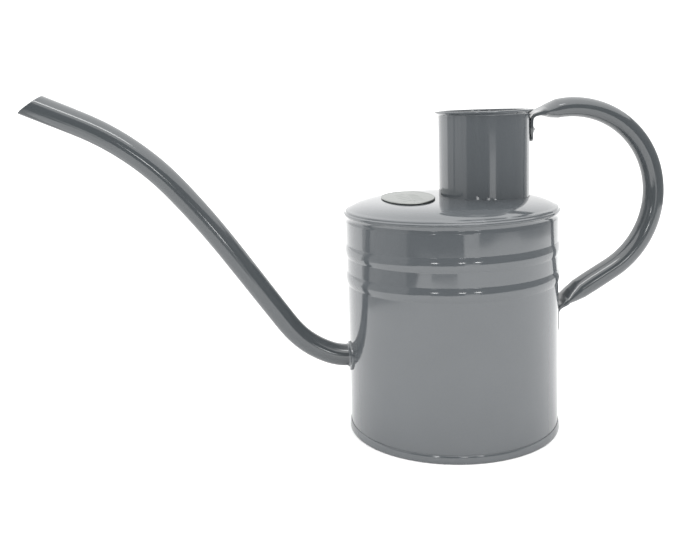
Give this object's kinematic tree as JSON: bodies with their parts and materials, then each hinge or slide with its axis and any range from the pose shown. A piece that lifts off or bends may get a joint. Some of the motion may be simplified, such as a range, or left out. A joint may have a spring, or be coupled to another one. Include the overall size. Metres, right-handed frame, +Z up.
{
  "type": "watering can",
  "caption": "Indoor watering can of painted sheet steel: low ribbed drum, domed lid with a wide filler neck, bowed tube handle and a long bent spout.",
  "frame": {"origin": "centre of the base seam's lower face, where the can rests, on the drum's axis", "axes": "+Z up along the drum's axis, +X towards the handle, -X towards the spout; the can is symmetric about the XZ plane"},
  "size_m": [0.3583, 0.1218, 0.1978],
  "materials": {
    "slate_paint": "gloss",
    "solder": "dull grey tin solder",
    "badge_metal": "brushed pewter",
    "adhesive_foam": "matt"
  },
  "bodies": {
    "root": {"body_shell": "slate_paint", "base_plate": "slate_paint", "lid": "slate_paint", "filler_neck": "slate_paint", "spout_tube": "slate_paint", "spout_collar": "slate_paint", "spout_braze": "slate_paint", "handle": "slate_paint", "handle_rivets": "slate_paint", "neck_solder": "solder", "badge": "badge_metal", "badge_pad": "adhesive_foam"}
  },
  "joints": []
}
